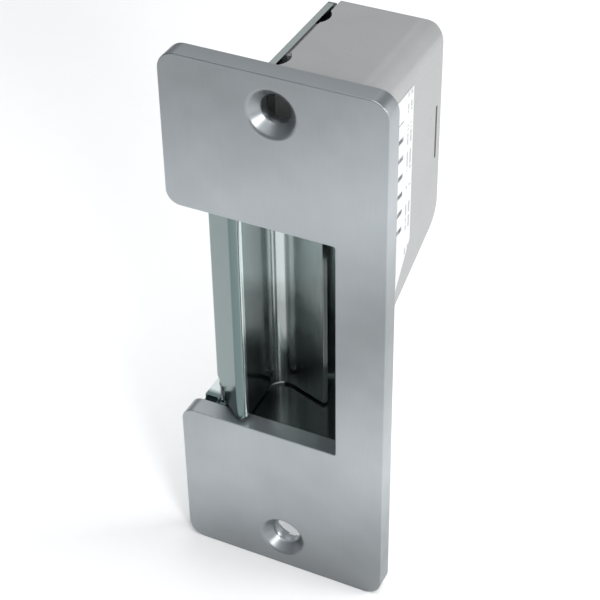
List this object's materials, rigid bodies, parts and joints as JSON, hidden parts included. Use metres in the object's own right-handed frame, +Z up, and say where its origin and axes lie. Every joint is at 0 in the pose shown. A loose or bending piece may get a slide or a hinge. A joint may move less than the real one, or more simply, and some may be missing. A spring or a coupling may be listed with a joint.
{
  "type": "electric door strike",
  "caption": "Electric door strike: notched face plate, sprung swinging keeper, and a pressed housing with an electromagnet that locks the keeper.",
  "frame": {"origin": "centre of the face plate's back face, midway between the two mounting screws", "axes": "+X to the right seen from the front, +Y into the door jamb, +Z up"},
  "size_m": [0.0336, 0.028, 0.089],
  "materials": {
    "satin_plate": "satin brushed stainless, fine vertical grain",
    "zinc_sheet": "clear zinc plated sheet",
    "grey_shell": "smooth matt grey pressed steel",
    "steel_hardware": "bright zinc plated screws and pins",
    "spring_steel": "drawn spring wire",
    "soft_iron": "dull nickel plated iron",
    "brass": "machined brass",
    "copper_winding": "enamelled copper wire",
    "nylon": "natural moulded nylon",
    "coil_wrap": "amber polyester tape",
    "lead_insulation": "red wire insulation",
    "block_plastic": "dark green moulded plastic",
    "label_film": "blank white vinyl label",
    "bumper_rubber": "black rubber"
  },
  "bodies": {
    "strike_body": {"face_plate": "satin_plate", "chassis": "zinc_sheet", "chassis_screws": "steel_hardware", "keeper_pin": "steel_hardware", "keeper_bushes": "nylon", "keeper_pin_clips": "spring_steel", "keeper_spring": "spring_steel", "keeper_bumper": "bumper_rubber", "housing_shell": "grey_shell", "housing_screws": "steel_hardware", "rating_label": "label_film", "magnet_yoke": "soft_iron", "yoke_screws": "steel_hardware", "magnet_core": "soft_iron", "core_screw": "steel_hardware", "residual_pad": "brass", "coil_bobbin": "nylon", "coil_winding": "copper_winding", "coil_tape": "coil_wrap", "coil_leads": "lead_insulation", "armature_pin": "steel_hardware", "armature_spring": "spring_steel", "terminal_block": "block_plastic", "terminal_clamps": "brass", "terminal_screws": "steel_hardware", "terminal_block_screw": "steel_hardware"},
    "keeper": {"keeper": "zinc_sheet"},
    "armature": {"locking_armature": "soft_iron"}
  },
  "joints": [
    {"name": "keeper_hinge", "type": "hinge", "parent": "strike_body", "child": "keeper", "pos_m": [-0.01265, 0.005, 0], "axis": [0, 0, -1], "range_deg": [0, 45], "stiffness_Nm_per_rad": 0.02, "springref_deg": -20.05, "deforming": ["keeper_spring"]},
    {"name": "armature_hinge", "type": "hinge", "parent": "strike_body", "child": "armature", "pos_m": [-0.0012, 0.0178, 0.0352], "axis": [0, 1, 0], "range_deg": [0, 8.5], "stiffness_Nm_per_rad": 0.01, "springref_deg": -17.19, "deforming": ["armature_spring"]}
  ]
}
